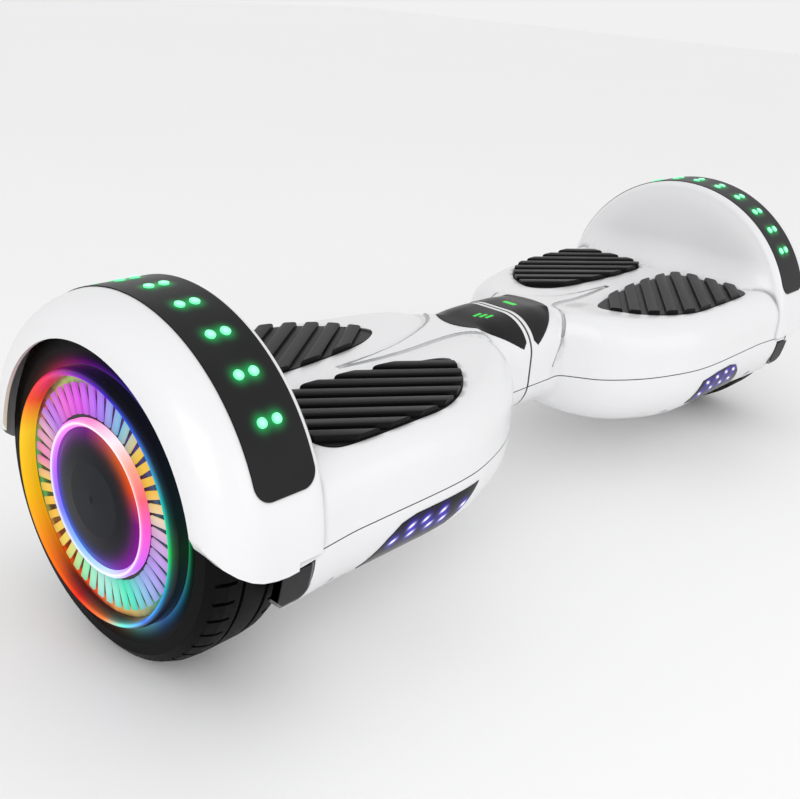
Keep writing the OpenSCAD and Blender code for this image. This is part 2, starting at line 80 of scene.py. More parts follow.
def linked(name, bm, softAngle=38):
    # edges sharper than softAngle stay crisp
    for face in bm.faces:
        face.smooth = True
    for edge in bm.edges:
        edge.smooth = len(edge.link_faces) == 2 and edge.calc_face_angle(0) < math.radians(softAngle)
    mesh = bpy.data.meshes.new(name)
    bm.to_mesh(mesh)
    bm.free()
    obj = bpy.data.objects.new(name, mesh)
    bpy.context.collection.objects.link(obj)
    return obj


def makeStudio(s):
    makeCamera(cameraLook)
    bpy.context.scene.view_settings.view_transform = "Standard"
    world = bpy.data.worlds.new("studio")
    bpy.context.scene.world = world
    world.use_nodes = True
    world.node_tree.nodes["Background"].inputs["Color"].default_value = (1, 1, 1, 1)
    world.node_tree.nodes["Background"].inputs["Strength"].default_value = s["world"]
    softLight("key", (-1.3, -0.9, 0.8), (-0.1, 0, 0.05), (1.2, 1.0), s["keyPower"])
    softLight("fill", (0.5, -1.5, 0.5), (0.05, 0, 0.06), (1.4, 0.8), s["fillPower"])
    bm = bmesh.new()
    bmesh.ops.create_grid(bm, x_segments=2, y_segments=2, size=6)
    floor = linked("floor", bm)
    return floor


floor = makeStudio(studio)
print("camera and studio ready")


class Wire:
    # a node's output that does sums
    def __init__(self, finish, out):
        self.finish, self.out = finish, out

    def math(self, kind, *others, flip=False):
        values = others + (self,) if flip else (self,) + others
        return self.finish.add("ShaderNodeMath", {"operation": kind}, dict(enumerate(values)))

    def __add__(self, o): return self.math("ADD", o)
    __radd__ = __add__
    def __mul__(self, o): return self.math("MULTIPLY", o)
    __rmul__ = __mul__
    def __sub__(self, o): return self.math("SUBTRACT", o)
    def __rsub__(self, o): return self.math("SUBTRACT", o, flip=True)
    def __truediv__(self, o): return self.math("DIVIDE", o)
    def __rtruediv__(self, o): return self.math("DIVIDE", o, flip=True)
    def __pow__(self, o): return self.math("POWER", o)
    def __lt__(self, o): return self.math("LESS_THAN", o)
    def __gt__(self, o): return self.math("GREATER_THAN", o)
    def __neg__(self): return self * -1.0


class Finish:
    # one material: its nodes are added and joined by the short methods below
    names = {"base": "Base Color", "rough": "Roughness", "metal": "Metallic",
             "specular": "Specular IOR Level", "coat": "Coat Weight", "coatRough": "Coat Roughness",
             "glow": "Emission Color", "power": "Emission Strength"}

    def __init__(self, name):
        self.mat = bpy.data.materials.new(name)
        self.mat.use_nodes = True
        self.tree = self.mat.node_tree
        self.shader = self.tree.nodes["Principled BSDF"]
        self.place = self.add("ShaderNodeTexCoord", out="Object")

    def add(self, kind, settings=None, sockets=None, out=0):
        node = self.tree.nodes.new(kind)
        for key, value in (settings or {}).items():
            if key == "stops":
                ramp = node.color_ramp
                while len(ramp.elements) < len(value):
                    ramp.elements.new(0.5)
                for element, (at, colour) in zip(ramp.elements, value):
                    element.position, element.color = at, (*colour, 1)
            else:
                setattr(node, key, value)
        for key, value in (sockets or {}).items():
            self.plug(value, node.inputs[key])
        return Wire(self, node.outputs[out])

    def plug(self, value, socket):
        if isinstance(value, Wire):
            self.tree.links.new(value.out, socket)
        elif hasattr(value, "__len__") and len(value) == 3 and socket.type == "RGBA":
            socket.default_value = (*value, 1)
        else:
            socket.default_value = value

    def axes(self):
        return [self.add("ShaderNodeSeparateXYZ", None, {0: self.place}, k) for k in range(3)]

    def noise(self, scale, detail=3.0, rough=0.5, stretch=None):
        where = self.place
        if stretch is not None:
            where = self.add("ShaderNodeMapping", None, {"Vector": self.place, "Scale": stretch})
        sockets = {"Vector": where, "Scale": scale, "Detail": detail, "Roughness": rough}
        return self.add("ShaderNodeTexNoise", None, sockets)

    def mix(self, factor, a, b):
        return self.add("ShaderNodeMix", {"data_type": "RGBA"}, {0: factor, 6: a, 7: b}, 2)

    def ramp(self, value, stops, deepen=1.0):
        # deepen over 1 makes the colours stronger
        deep = [(at, tuple(c ** deepen for c in colour)) for at, colour in stops]
        return self.add("ShaderNodeValToRGB", {"stops": deep}, {0: value})

    def tint(self, value, colour):
        return self.mix(value, (0, 0, 0), colour)

    def bump(self, height, strength, distance):
        sockets = {"Height": height, "Strength": strength, "Distance": distance}
        normal = self.add("ShaderNodeBump", None, sockets)
        self.plug(normal, self.shader.inputs["Normal"])

    def set(self, **sockets):
        for key, value in sockets.items():
            self.plug(value, self.shader.inputs[self.names[key]])
        return self.mat


def glossyShell(name, look):
    # white gloss with painted shade: the base colour darkens in grooves and seams
    f = Finish(name)
    cloud = f.noise(9, 2)
    grain = f.noise(1400, 2)
    f.bump(grain, 0.04, 0.0002)
    # painted shade: ambient occlusion darkens the colour towards the crease colour in hollows and seams
    near = f.add("ShaderNodeAmbientOcclusion", {"samples": 8}, {"Distance": look["reach"]}, 1)
    base = f.mix(cloud, look["shade"], look["base"])
    base = f.mix(near ** look["depth"], look["crease"], base)
    return f.set(base=base, rough=cloud * 0.06 + look["rough"], coat=0.35, coatRough=0.08)


def rubberFinish(name, look):
    f = Finish(name)
    cloud, grain = f.noise(60, 4), f.noise(look["grain"], 4, 0.6)
    f.bump(grain, look["bump"], 0.0003)
    base = f.mix(cloud, look["base"], look["dust"])
    return f.set(base=base, rough=grain * 0.22 + look["rough"], specular=look.get("shine", 0.5))


def tyreFinish(name, look):
    # painted light: the light ring's colour is painted on the sidewall as a glow
    f = Finish(name)
    x, y, z = f.axes()
    cloud, grain = f.noise(60, 4), f.noise(look["grain"], 4, 0.6)
    f.bump(grain, look["bump"], 0.0003)
    turn, radius = polar(f, wheelLight["axle"])
    face = x.math("ABSOLUTE") * 1000 > wheelLight["faceX"]
    # painted light: emission on the tyre rubber near the ring radius
    glow = f.tint(hill(radius, 59.5, 4.5) * face * 0.55, f.ramp(turn, wheelLight["rim"]))
    return f.set(base=f.mix(cloud, look["base"], look["dust"]), rough=grain * 0.2 + look["rough"],
                 specular=look["shine"], glow=glow, power=0.8)


def metalFinish(name, look):
    f = Finish(name)
    cloud = f.noise(45, 3)
    brushed = f.noise(500, 3, 0.6, look.get("stretch", (1, 1, 1)))
    f.bump(brushed, look["bump"], 0.0002)
    return f.set(base=f.mix(cloud, look["base"], look["worn"]), metal=look.get("metal", 1.0),
                 rough=brushed * 0.2 + look["rough"])


def boardFinish(name, look):
    f = Finish(name)
    track = f.add("ShaderNodeTexVoronoi", {"feature": "DISTANCE_TO_EDGE"}, {"Vector": f.place, "Scale": 260})
    line = track < 0.04
    base = f.mix(line, look["mask"], look["track"])
    return f.set(base=base, rough=f.noise(300) * 0.2 + 0.35, metal=line * 0.4)


def wrapFinish(name, look):
    f = Finish(name)
    x, y, z = f.axes()
    cells = (x * (math.pi * 2 / 0.0185)).math("SINE") * 0.5 + 0.5
    f.bump(cells, 0.5, 0.002)
    # painted shade: the colour darkens in the hollows between cells
    return f.set(base=f.mix(cells, look["fold"], look["base"]), rough=f.noise(120) * 0.15 + 0.3)


wheelLight = {
    "axle": 0.083, "faceX": 282.5,
    "rim": [(0.0, (0.04, 0.95, 0.25)), (0.07, (0.05, 0.5, 0.9)), (0.13, (0.1, 0.35, 1.0)),
            (0.19, (0.3, 1.0, 0.85)), (0.23, (1.0, 0.35, 0.1)),
            (0.29, (0.95, 0.05, 0.02)), (0.36, (1.0, 0.3, 0.0)), (0.45, (1.0, 0.62, 0.0)),
            (0.54, (1.0, 0.7, 0.05)), (0.6, (0.95, 0.15, 0.05)),
            (0.66, (0.9, 0.05, 0.2)), (0.73, (0.35, 0.02, 0.6)), (0.8, (0.12, 0.05, 0.9)),
            (0.87, (0.05, 0.3, 1.0)), (0.94, (0.0, 0.75, 0.75)), (1.0, (0.04, 0.95, 0.25))],
    "bars": [(0.0, (0.85, 0.65, 0.85)), (0.06, (0.7, 0.55, 0.95)), (0.12, (0.55, 0.7, 0.95)),
             (0.18, (0.2, 0.95, 0.75)), (0.25, (0.65, 0.95, 0.9)), (0.31, (0.55, 0.95, 0.65)),
             (0.36, (0.95, 0.85, 0.35)), (0.42, (0.98, 0.72, 0.15)), (0.47, (0.95, 0.8, 0.3)),
             (0.51, (0.95, 0.45, 0.7)), (0.56, (0.9, 0.65, 0.75)), (0.6, (0.7, 0.42, 0.95)),
             (0.65, (0.95, 0.35, 0.85)), (0.7, (0.9, 0.25, 0.95)), (0.76, (0.65, 0.4, 0.98)),
             (0.82, (0.4, 0.75, 0.85)), (0.87, (0.95, 0.75, 0.12)), (0.93, (0.98, 0.72, 0.08)),
             (0.97, (0.95, 0.85, 0.65)), (1.0, (0.85, 0.65, 0.85))],
    "core": [(0.0, (1.0, 0.25, 0.75)), (0.1, (0.75, 0.3, 1.0)), (0.22, (0.7, 0.85, 1.0)),
             (0.32, (0.45, 0.7, 1.0)), (0.42, (0.35, 0.35, 1.0)), (0.5, (0.65, 0.3, 1.0)),
             (0.62, (0.95, 0.4, 1.0)), (0.74, (1.0, 0.45, 0.75)), (0.82, (1.0, 0.9, 0.95)),
             (0.88, (1.0, 0.55, 0.45)), (0.94, (1.0, 0.3, 0.35)), (1.0, (1.0, 0.25, 0.75))],
    "spread": [(0.0, (0.1, 0.1, 0.1)), (0.2, (0.0, 0.0, 0.0)), (0.32, (0.15, 0.15, 0.15)),
               (0.42, (0.8, 0.8, 0.8)), (0.56, (0.9, 0.9, 0.9)), (0.68, (0.3, 0.3, 0.3)),
               (0.8, (0.0, 0.0, 0.0)), (1.0, (0.1, 0.1, 0.1))],
    "haze": [(0.0, (0.25, 0.0, 0.25)), (0.15, (0.2, 0.0, 0.35)), (0.3, (0.02, 0.08, 0.6)),
             (0.45, (0.02, 0.05, 0.5)), (0.6, (0.2, 0.03, 0.3)), (0.72, (0.15, 0.0, 0.2)),
             (0.84, (0.75, 0.12, 0.02)), (0.92, (0.95, 0.08, 0.0)), (1.0, (0.25, 0.0, 0.25))],
    "streaks": [(0.0, (0.02, 0.12, 0.18)), (0.12, (0.05, 0.25, 0.15)), (0.2, (0.6, 0.35, 0.1)),
                (0.27, (0.75, 0.08, 0.02)), (0.36, (0.55, 0.05, 0.0)), (0.45, (0.05, 0.3, 0.08)),
                (0.53, (0.1, 0.25, 0.08)), (0.6, (0.5, 0.05, 0.08)), (0.68, (0.3, 0.4, 0.1)),
                (0.76, (0.4, 0.0, 0.5)), (0.85, (0.1, 0.02, 0.4)), (0.93, (0.05, 0.15, 0.3)),
                (1.0, (0.02, 0.12, 0.18))],
}


def polar(f, axle):
    # turn (0 to 1 round the axle, 0 at the front) and radius in mm
    x, y, z = f.axes()
    y, z = y * 1000, (z - axle) * 1000
    turn = z.math("ARCTAN2", y) / (2 * math.pi) + 0.5
    radius = (y * y + z * z).math("SQRT")
    return turn, radius


def hill(value, centre, width):
    # 1 at centre, falling smoothly to nothing
    away = (value - centre) / width
    return (away * away * -1.0).math("EXPONENT")


def ringGlow(name, look, power):
    # outer ring: a bright line, wide at the rear and fine at the front; inner ring: a bright band
    f = Finish(name)
    turn, radius = polar(f, look["axle"])
    inner = radius < 46
    wide = f.ramp(turn, look["spread"]) * 4.0 + 0.9
    line = hill(radius, 59.3, 0.9 * wide)
    outer = f.mix(line, (0.004, 0.004, 0.006), f.ramp(turn, look["rim"], 1.4))
    core = f.ramp(turn, look["core"], 1.6)
    hot = f.mix(hill(radius, 36, 0.7) * 0.8, core, (1, 1, 1))
    return f.set(base=(0.004, 0.004, 0.005), glow=f.mix(inner, outer, hot), power=power,
                 rough=f.noise(200) * 0.1 + 0.15, specular=0.15)


def barGlow(name, look, power):
    f = Finish(name)
    turn, radius = polar(f, look["axle"])
    fade = hill(radius, 47, 14)
    glow = f.mix(fade * 0.9, (0.02, 0.02, 0.03), f.ramp(turn, look["bars"], 2.0))
    return f.set(base=(0.03, 0.03, 0.035), glow=glow, power=power, rough=f.noise(200) * 0.1 + 0.2,
                 specular=0.2)


def streakBoard(name, look, power):
    f = Finish(name)
    turn, radius = polar(f, look["axle"])
    wobble = f.noise(38, 3)
    swirl = ((radius * 0.55 + wobble * 6).math("SINE") * 0.5 + 0.5) ** 2.0
    speck = f.noise(160, 3, 0.7) ** 3.0 * 4.0
    amount = (swirl * 0.8 + speck * 0.4).math("MINIMUM", 1.0) * (hill(radius, 54, 9) * 0.9 + 0.1)
    glow = f.mix(amount, (0.004, 0.003, 0.006), f.ramp(turn + wobble * 0.06 - 0.03, look["streaks"]))
    return f.set(base=(0.004, 0.004, 0.006), glow=glow, power=power, rough=wobble * 0.15 + 0.1, specular=0.15)


def hubGlass(name, look, power):
    f = Finish(name)
    turn, radius = polar(f, look["axle"])
    edge = hill(radius, 34.5, 5.5)
    glow = f.mix(edge, (0.004, 0.005, 0.008), f.ramp(turn, look["haze"]))
    return f.set(base=(0.003, 0.003, 0.004), glow=glow, power=power, rough=f.noise(90) * 0.08 + 0.1,
                 specular=0.07)


stripLook = {"base": (0.012, 0.012, 0.0125), "worn": (0.02, 0.02, 0.0205), "pairs": {"left": 9, "right": 11},
             "sweep": 108.0, "perDegree": 1.65, "rows": (249.0, 257.0)}


def lampRow(f, side, look):
    # mm across the strip, mm along it from the nearest pair of lamps, and whether there is a pair
    x, y, z = f.axes()
    step = look["sweep"] / (look["pairs"][side] - 1)
    reach = look["sweep"] / 2 + step / 2
    angle = y.math("ARCTAN2", z - wheelLight["axle"]) * (180 / math.pi)
    along = ((angle + reach).math("FLOORED_MODULO", step) - step / 2) * look["perDegree"]
    return x.math("ABSOLUTE") * 1000, along, angle.math("ABSOLUTE") < reach


def stripFinish(name, side, look):
    # satin black with a painted green glow (halo) round each lamp
    f = Finish(name)
    across, along, inside = lampRow(f, side, look)
    halo = None
    for row in look["rows"]:
        d = across - row
        one = ((d * d + along * along) / -17.0).math("EXPONENT")
        halo = one if halo is None else halo + one
    halo = (halo * inside).math("MINIMUM", 1.0)
    cloud, grain = f.noise(30, 3), f.noise(900, 3)
    f.bump(grain, 0.12, 0.0002)
    # painted light: the halo round each lamp is emission on the strip itself
    glow = f.tint(halo ** 1.5, (0.003, 0.36, 0.08))
    return f.set(base=f.mix(cloud, look["base"], look["worn"]), rough=grain * 0.12 + 0.3, specular=0.1,
                 glow=glow, power=1.25)


def lampGlow(name, side, look):
    f = Finish(name)
    across, along = lampRow(f, side, look)[:2]
    inner, outer = ((across - row).math("ABSOLUTE") for row in look["rows"])
    near = inner.math("MINIMUM", outer)
    core = ((near * near + along * along) / -5.0).math("EXPONENT")
    return f.set(base=(0.1, 0.5, 0.25), glow=f.mix(core, (0.02, 0.7, 0.22), (0.42, 1.0, 0.66)), power=1.1,
                 rough=f.noise(300) * 0.1 + 0.2)


headLampLook = {"right": [(139.5, 63.5), (152.0, 65.0), (164.5, 66.0), (176.0, 65.5), (137.0, 54.5),
                          (150.5, 56.5), (163.5, 57.5), (176.5, 57.5)],
                "left": [(127.6, 60.5), (145.8, 64.3), (143.7, 58.0), (159.0, 63.8), (154.3, 58.3),
                         (169.7, 63.9), (168.2, 58.3), (181.0, 58.5)]}


def headLampGlass(name, dots):
    f = Finish(name)
    x, y, z = f.axes()
    across, high = x.math("ABSOLUTE") * 1000, z * 1000
    core, halo = None, None
    for px, pz in dots:
        dx, dz = across - px, high - pz
        lean = dx + dz * 0.9
        near = (lean * lean / 2.6 + dz * dz / 1.5) * -1.0
        wide = (dx * dx + dz * dz) / -13.0
        one, two = near.math("EXPONENT"), wide.math("EXPONENT")
        core, halo = (one, two) if core is None else (core + one, halo + two)
    haze = f.tint((halo * 0.75).math("MINIMUM", 1.0), (0.04, 0.01, 0.6))
    glow = f.mix((core * 1.3).math("MINIMUM", 1.0), haze, (0.92, 0.9, 1.0))
    return f.set(base=(0.005, 0.005, 0.006), glow=glow, power=1.25, rough=f.noise(120) * 0.08 + 0.12,
                 specular=0.08)


def windowGlass(name, side):
    # black window with a plain green mark
    f = Finish(name)
    x, y, z = f.axes()
    across, along = x.math("ABSOLUTE") * 1000, y * 1000
    if side == "left":
        bars = None
        for k in (-1, 0, 1):
            wide = (along + 7 - k * 3.4).math("ABSOLUTE") < 1.0
            long = (across - 19 - k * 1.6).math("ABSOLUTE") < 3.6
            bars = wide * long if bars is None else bars.math("MAXIMUM", wide * long)
        mark = bars
    else:
        mark = ((along + 1).math("ABSOLUTE") < 4.6) * ((across - 16).math("ABSOLUTE") < 2.2)
    cloud = f.noise(40, 3)
    return f.set(base=f.mix(cloud, (0.012, 0.012, 0.0125), (0.017, 0.017, 0.0175)), rough=cloud * 0.1 + 0.24,
                 specular=0.1,
                 glow=f.tint(mark, (0.02, 0.75, 0.06)), power=1.0)


# crease is the colour of the painted shade in grooves and seams; reach and depth set how far and how strongly
# it spreads
shellLook = {"base": (0.83, 0.83, 0.84), "shade": (0.79, 0.79, 0.805), "crease": (0.12, 0.12, 0.125),
             "reach": 0.004, "depth": 3.0, "rough": 0.3}
finishes = {
    "shell": glossyShell("glossyWhite", shellLook),
    "aluminium": metalFinish("castAluminium", {"base": (0.55, 0.55, 0.57), "worn": (0.65, 0.65, 0.67),
                                               "bump": 0.3, "rough": 0.4}),
    "steel": metalFinish("plainSteel", {"base": (0.42, 0.42, 0.44), "worn": (0.5, 0.5, 0.52), "bump": 0.1,
                                        "rough": 0.25, "stretch": (1, 8, 1)}),
    "copper": metalFinish("enamelledCopper", {"base": (0.6, 0.25, 0.1), "worn": (0.45, 0.2, 0.1), "bump": 0.3,
                                              "rough": 0.3, "stretch": (12, 1, 1)}),
    "bronze": metalFinish("sinteredBronze", {"base": (0.5, 0.33, 0.15), "worn": (0.4, 0.27, 0.14),
                                             "bump": 0.2, "rough": 0.4}),
    "magnet": metalFinish("platedMagnet", {"base": (0.45, 0.45, 0.47), "worn": (0.38, 0.38, 0.4), "bump": 0.1,
                                           "rough": 0.25}),
    "painted": metalFinish("blackPaint", {"base": (0.015, 0.015, 0.016), "worn": (0.03, 0.03, 0.032),
                                          "bump": 0.3, "rough": 0.35, "metal": 0.0}),
    "board": boardFinish("printedBoard", {"mask": (0.01, 0.09, 0.03), "track": (0.04, 0.22, 0.08)}),
    "controller": boardFinish("controllerBoard", {"mask": (0.012, 0.02, 0.03), "track": (0.05, 0.1, 0.12)}),
    "battery": wrapFinish("wrappedCells", {"base": (0.02, 0.1, 0.38), "fold": (0.01, 0.05, 0.2)}),
    "rubber": rubberFinish("padRubber", {"base": (0.0025, 0.0025, 0.0025), "dust": (0.006, 0.006, 0.006),
                                         "grain": 900, "bump": 0.2, "rough": 0.2, "shine": 0.11}),
    "tyre": tyreFinish("tyreRubber", {"base": (0.0015, 0.0015, 0.0015), "dust": (0.004, 0.004, 0.004),
                                      "grain": 700, "bump": 0.2, "rough": 0.4, "shine": 0.06}),
    "cable": rubberFinish("cableSheath", {"base": (0.012, 0.012, 0.012), "dust": (0.03, 0.03, 0.03),
                                          "grain": 400, "bump": 0.2, "rough": 0.4}),
    "dark_plastic": rubberFinish("darkPlastic", {"base": (0.016, 0.016, 0.017), "dust": (0.026, 0.026, 0.028),
                                                 "grain": 1100, "bump": 0.15, "rough": 0.35, "shine": 0.3}),
    "insert": rubberFinish("insertPlastic", {"base": (0.02, 0.02, 0.021), "dust": (0.028, 0.028, 0.029),
                                             "grain": 900, "bump": 0.15, "rough": 0.35, "shine": 0.15}),
    # painted shade: grey for the white shell's edge in shadow round the insert
    "greyRim": rubberFinish("greyRim", {"base": (0.14, 0.14, 0.145), "dust": (0.18, 0.18, 0.185),
                                        "grain": 900, "bump": 0.05, "rough": 0.35, "shine": 0.4}),
    "light_ring": ringGlow("ringGlow", wheelLight, 1.05),
    "rays": barGlow("barGlow", wheelLight, 1.0),
    "light_board": streakBoard("streakBoard", wheelLight, 1.2),
    "hub_lens": hubGlass("hubGlass", wheelLight, 1.0),
}
perSide = {"strip": lambda side: stripFinish("satinStrip_" + side, side, stripLook),
           "lamp_green": lambda side: lampGlow("lampGlow_" + side, side, stripLook),
           "headlight": lambda side: headLampGlass("headLampGlass_" + side, headLampLook[side]),
           "window": lambda side: windowGlass("windowGlass_" + side, side)}
for side in ("left", "right"):
    for key, make in perSide.items():
        finishes[key + side] = make(side)

slots = {entry["node"]: entry["material_slot"] for entry in frame["record"]["subparts"]}


def finishFor(node):
    slot = slots[node]
    return finishes[slot] if slot in finishes else finishes[slot + node.split("_")[0]]


for name, obj in frame["nodes"].items():
    for holder in obj.material_slots:
        holder.material = finishFor(name)
f = Finish("paleFloor")
floor.data.materials.append(f.set(base=f.mix(f.noise(3, 2), studio["floorShade"], studio["floor"]),
                                  rough=f.noise(40) * 0.1 + 0.5))
print("finishes ready")

shell = {"half": 292.0, "wall": 2.6, "seam": 77.0, "gap": 0.32, "well": 233.0, "end": 249.0, "axle": 83.0,
         "coverRadius": 94.5, "coverInside": 91.5, "lip": 77.0, "shoulder": 24.0, "deck": 112.0,
         "fillet": 20.0, "filletEnd": 84.0, "filletFade": 24.0,
         "stationStep": 2.0, "turns": 180, "coverLow": 73.0}
# along X: place, half width, top, corner y, corner z, bottom, corner y, corner z
stations = [
    (0.9, 33, 121, 24, 24, 56, 24, 24), (20, 33, 120.6, 24, 24, 55.4, 24, 24),
    (34, 34, 119, 24, 24, 54, 24, 24), (40, 42, 118.5, 20, 22, 51, 24, 25),
    (48, 54, 117.5, 20, 22, 47, 28, 28), (60, 64, 116, 20, 22, 42.5, 32, 32),
    (72, 71.5, 114.4, 20, 22, 39, 36, 35), (85, 77.5, 113, 19, 22, 36.3, 39, 38),
    (98, 82, 112.3, 19, 22, 34.5, 41, 40), (110, 85.5, 112, 18, 22, 33.1, 42, 41),
    (122, 88, 112, 18, 22, 32.3, 43, 42), (138, 89.5, 112, 17, 22, 32, 44, 43),
    (160, 90, 112, 16, 22, 32, 45, 44), (208, 90, 112, 16, 22, 32, 45, 44),
    (228, 91.5, 112, 17, 22, 32, 46, 44), (249, 93.6, 112, 18, 22, 32, 48, 44)]
# the edge where the foot areas rise from the waist: place along X, distance round the section from its top
creaseLine = [(138, 0.5), (113, 3), (93, 5), (76, 7), (63, 9.3), (53, 12), (47, 15), (43, 19), (40.5, 25),
              (38, 31.5), (35, 39), (31, 49), (27, 58), (25, 66)]
creaseLook = {"rise": 1.6, "reach": 12.0, "edge": 1.8, "groove": 1.4, "sink": 0.7,
              "endX": 145.0, "fadeX": 60.0, "endRound": 68.0, "fadeRound": 14.0}


def stationAt(x):
    # smooth blend through the stations
    k = 0
    while k < len(stations) - 2 and x > stations[k + 1][0]:
        k += 1
    a, b = stations[k], stations[k + 1]
    before, after = stations[max(k - 1, 0)], stations[min(k + 2, len(stations) - 1)]
    span = b[0] - a[0]
    t = (x - a[0]) / span
    out = []
    for i in range(1, 8):
        ma = (b[i] - before[i]) / (b[0] - before[0]) * span
        mb = (after[i] - a[i]) / (after[0] - a[0]) * span
        low, high = min(a[i], b[i]), max(a[i], b[i])
        value = (2 * t**3 - 3 * t**2 + 1) * a[i] + (t**3 - 2 * t**2 + t) * ma
        value += (3 * t**2 - 2 * t**3) * b[i] + (t**3 - t**2) * mb
        out.append(min(max(value, low), high))
    return out


def sectionAt(x, grow, counts):
    # one closed ring of (y, z), starting at the top centre and going towards +Y
    w, top, ty, tz, low, by, bz = stationAt(x)
    w, top, low = w + grow, top + grow, low - grow
    ty, tz, by, bz = (v + grow * 0.7 for v in (ty, tz, by, bz))
    half = []
    flat, corner, side, under, base = counts
    for i in range(flat):
        half.append(((w - ty) * i / flat, top))
    for i in range(corner):
        a = math.pi / 2 * (1 - i / corner)
        half.append((w - ty + ty * math.cos(a), top - tz + tz * math.sin(a)))
    for i in range(side):
        half.append((w, (top - tz) + ((low + bz) - (top - tz)) * i / side))
    for i in range(under):
        a = math.pi / 2 * i / under
        half.append((w - by + by * math.cos(a), low + bz - bz * math.sin(a)))
    for i in range(base):
        half.append(((w - by) * (1 - i / base), low))
    half.append((0, low))
    return half + [(-y, z) for y, z in reversed(half[1:-1])]


def nearCrease(x, s):
    # signed distance: positive on the foot area, negative on the waist
    best = 1e9
    for (x0, s0), (x1, s1) in zip(creaseLine, creaseLine[1:]):
        dx, ds = x1 - x0, s1 - s0
        t = max(0, min(1, ((x - x0) * dx + (s - s0) * ds) / (dx * dx + ds * ds)))
        best = min(best, math.hypot(x - x0 - t * dx, s - s0 - t * ds))
    edge = creaseLine[0][0]
    for (x0, s0), (x1, s1) in zip(creaseLine, creaseLine[1:]):
        if s0 <= s <= s1:
            edge = x0 + (x1 - x0) * (s - s0) / (s1 - s0)
    if s > creaseLine[-1][1]:
        edge = creaseLine[-1][0]
    return best if x > edge else -best


def liftRing(x, ring):
    # pushes the ring outwards beside the crease
    look = creaseLook
    if x > look["endX"]:
        return ring
    n = len(ring)
    along, out = [0.0], []
    for i in range(1, n):
        along.append(along[-1] + math.dist(ring[i], ring[i - 1]))
    total = along[-1] + math.dist(ring[-1], ring[0])
    for i, (y, z) in enumerate(ring):
        s = min(along[i], total - along[i])
        d = nearCrease(x, s)
        rise = 0.0
        if d > -look["edge"] and s < look["endRound"]:
            climb = min(1, (d + look["edge"]) / (2 * look["edge"]))
            climb = climb * climb * (3 - 2 * climb)
            fade = math.exp(-(max(d, 0) / look["reach"]) ** 2)
            fade *= min(1, max(0, (look["endX"] - x) / look["fadeX"]))
            fade *= min(1, max(0, (look["endRound"] - s) / look["fadeRound"]))
            rise = look["rise"] * climb * fade
        (ya, za), (yb, zb) = ring[(i - 1) % n], ring[(i + 1) % n]
        ny, nz = -(zb - za), yb - ya
        size = math.hypot(ny, nz) or 1
        out.append((y - ny / size * rise, z - nz / size * rise))
    return out


def onBody(x, s, side, out):
    # the point at distance s round the section from its top, and out above the skin
    ring = sectionAt(x, 0, fine)
    near = 0.0
    for (ya, za), (yb, zb) in zip(ring, ring[1:]):
        step = math.dist((ya, za), (yb, zb))
        if near + step >= s:
            t = (s - near) / step
            y = ya + (yb - ya) * t - (zb - za) / step * out
            return Vector((x, side * y, za + (zb - za) * t + (yb - ya) / step * out))
        near += step


def smoothPath(points, steps=6):
    # a smooth line through every point
    out = []
    n = len(points)
    for i in range(n - 1):
        a, b, c, d = (points[min(max(i + k, 0), n - 1)] for k in (-1, 0, 1, 2))
        for j in range(steps):
            t = j / steps
            weights = (-t + 2 * t**2 - t**3, 2 - 5 * t**2 + 3 * t**3, t + 4 * t**2 - 3 * t**3, t**3 - t**2)
            out.append(tuple(0.5 * sum(w * v for w, v in zip(weights, four)) for four in zip(a, b, c, d)))
    return out + [points[-1]]


def nextRing(bm, ring, edges):
    # pulls an open tube on by one ring: the fresh verts in the old order, and their edges
    grown = bmesh.ops.extrude_edge_only(bm, edges=edges)["geom"]
    fresh = set(g for g in grown if isinstance(g, bmesh.types.BMVert))
    edges = [g for g in grown if isinstance(g, bmesh.types.BMEdge) and all(v in fresh for v in g.verts)]
    ring = [next(e.other_vert(v) for e in v.link_edges if e.other_vert(v) in fresh) for v in ring]
    return ring, edges


def closedTube(name, bm, first, last):
    bmesh.ops.edgeloop_fill(bm, edges=first)
    bmesh.ops.edgeloop_fill(bm, edges=last)
    bmesh.ops.recalc_face_normals(bm, faces=bm.faces)
    return linked(name, bm)


def groove(name, places, side, radius, sink):
    # a round cutter that follows the skin
    path = [onBody(x, s, side, radius - sink * 2) for x, s in smoothPath(places)]
    bm = bmesh.new()
    ring = bmesh.ops.create_circle(bm, segments=10, radius=radius)["verts"]
    edges = list(bm.edges)
    first = list(edges)
    home = [v.co.copy() for v in ring]
    for i, at in enumerate(path):
        along = (path[min(i + 1, len(path) - 1)] - path[max(i - 1, 0)]).normalized()
        turn = along.to_track_quat("Z", "Y").to_matrix()
        if i:
            ring, edges = nextRing(bm, ring, edges)
        for v, co in zip(ring, home):
            v.co = at + turn @ co
    return closedTube(name, bm, first, edges)


def loftedBody(name, grow, start, end, step, counts, creased=False):
    places = [start]
    while places[-1] + step < end:
        places.append(places[-1] + step)
    places.append(end)
    bm = bmesh.new()
    ring = None
    for x in places:
        points = sectionAt(min(max(x, stations[0][0]), shell["end"]), grow, counts)
        if creased:
            points = liftRing(x, points)
        if ring is None:
            ring = bmesh.ops.create_circle(bm, segments=len(points), radius=1)["verts"]
            ring.sort(key=lambda v: math.atan2(v.co.y, v.co.x) % (2 * math.pi))
            edges = list(bm.edges)
            first = list(edges)
        else:
            ring, edges = nextRing(bm, ring, edges)
        for v, (y, z) in zip(ring, points):
            v.co = (x, y, z)
    return closedTube(name, bm, first, edges)


